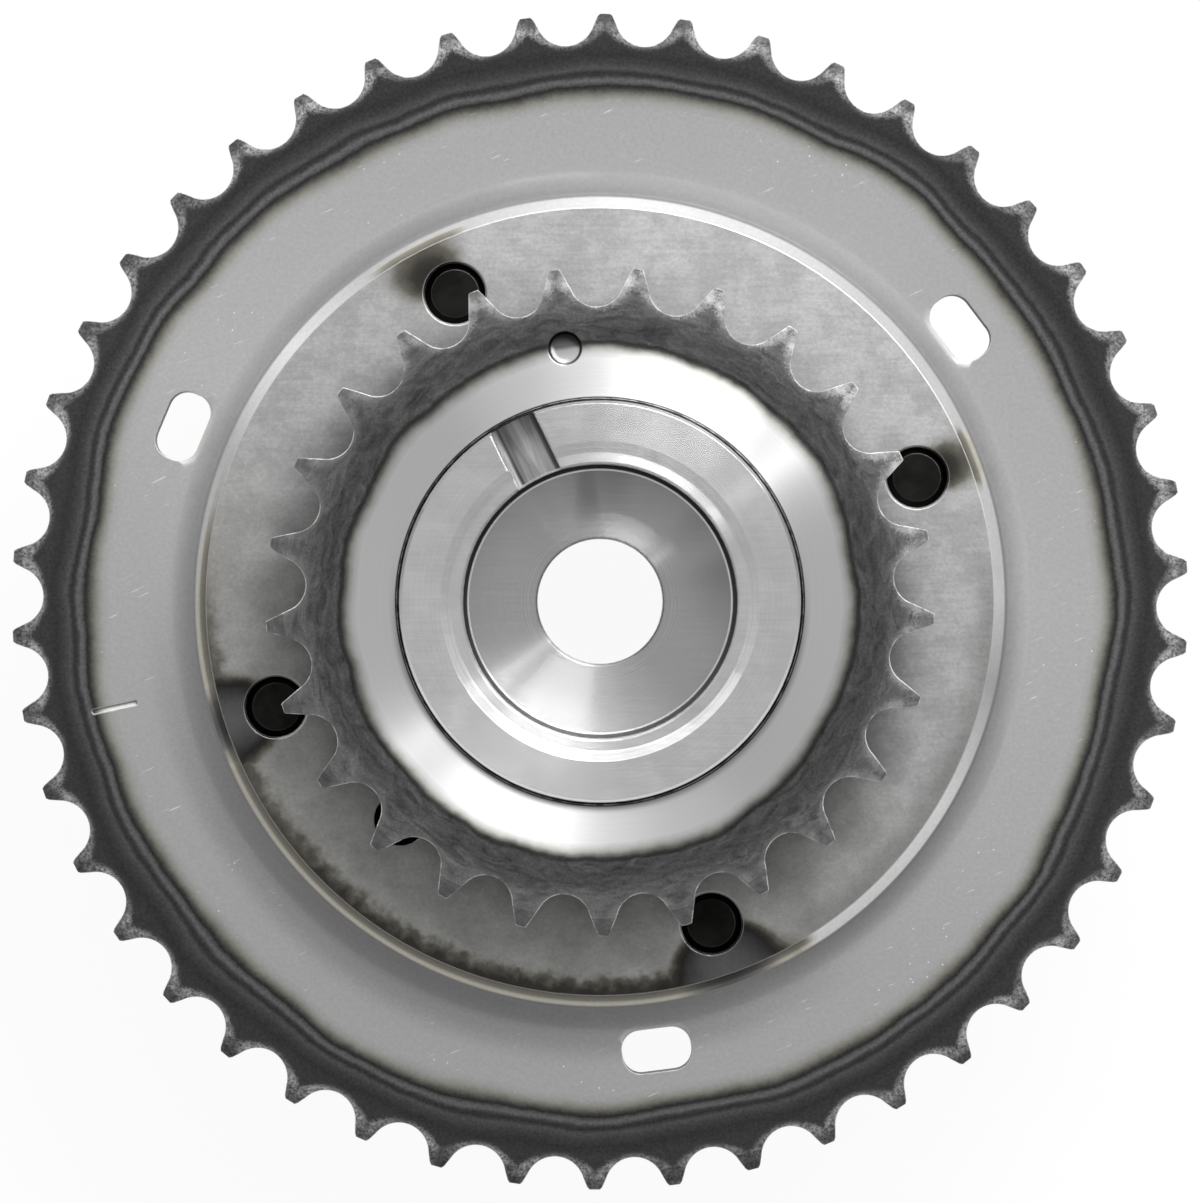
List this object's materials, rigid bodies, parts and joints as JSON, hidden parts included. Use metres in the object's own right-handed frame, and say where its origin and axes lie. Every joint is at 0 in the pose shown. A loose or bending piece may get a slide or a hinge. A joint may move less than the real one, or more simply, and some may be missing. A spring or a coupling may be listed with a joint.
{
  "type": "cam phaser",
  "caption": "Vane-type cam phaser: a large and a small roller-chain sprocket on a vane drum, with a rotor that bolts to the camshaft and turns inside it.",
  "frame": {"origin": "on the camshaft's axis, at the seat that the camshaft's end is clamped against", "axes": "+Z along the camshaft's axis, toward the camshaft; +Y is up in the picture and +X is to the right"},
  "size_m": [0.1184, 0.1186, 0.0455],
  "materials": {
    "primary_sprocket_steel": "blasted, with induction-hardened dark teeth",
    "secondary_sprocket_steel": "turned ring, with induction-hardened dark teeth",
    "sintered_steel": "sintered and machined, satin",
    "cover_steel": "ground, satin",
    "black_bolt_steel": "black oxide",
    "rotor_steel": "turned",
    "hardened_steel": "ground",
    "phosphated_steel": "phosphated, dark and dull",
    "spring_steel": "drawn",
    "seal_resin": "moulded, matt"
  },
  "bodies": {
    "drum": {"primary_sprocket": "primary_sprocket_steel", "secondary_sprocket": "secondary_sprocket_steel", "vane_housing": "sintered_steel", "front_cover": "cover_steel", "cover_bolts": "black_bolt_steel", "locating_pin": "hardened_steel", "lock_seat_bush": "phosphated_steel", "shoe_seal_1": "seal_resin", "shoe_seal_2": "seal_resin", "shoe_seal_3": "seal_resin", "shoe_seal_4": "seal_resin", "shoe_seal_spring_1": "spring_steel", "shoe_seal_spring_2": "spring_steel", "shoe_seal_spring_3": "spring_steel", "shoe_seal_spring_4": "spring_steel"},
    "rotor": {"vane_rotor": "rotor_steel", "lock_pin_bush": "hardened_steel", "lock_pin_spring": "spring_steel", "lock_spring_plug": "hardened_steel", "vane_seal_1": "seal_resin", "vane_seal_2": "seal_resin", "vane_seal_3": "seal_resin", "vane_seal_4": "seal_resin", "vane_seal_spring_1": "spring_steel", "vane_seal_spring_2": "spring_steel", "vane_seal_spring_3": "spring_steel", "vane_seal_spring_4": "spring_steel"},
    "lock_pin": {"lock_pin": "hardened_steel"}
  },
  "joints": [
    {"name": "rotor_advance", "type": "hinge", "parent": "drum", "child": "rotor", "pos_m": [0, 0, 0], "axis": [0, 0, 1], "range_deg": [0, 25]},
    {"name": "lock_pin_slide", "type": "slide", "parent": "rotor", "child": "lock_pin", "axis": [0, 0, -1], "range_m": [0, 0.003], "stiffness_N_per_m": 800, "springref_m": -0.004, "deforming": ["lock_pin_spring"]}
  ]
}
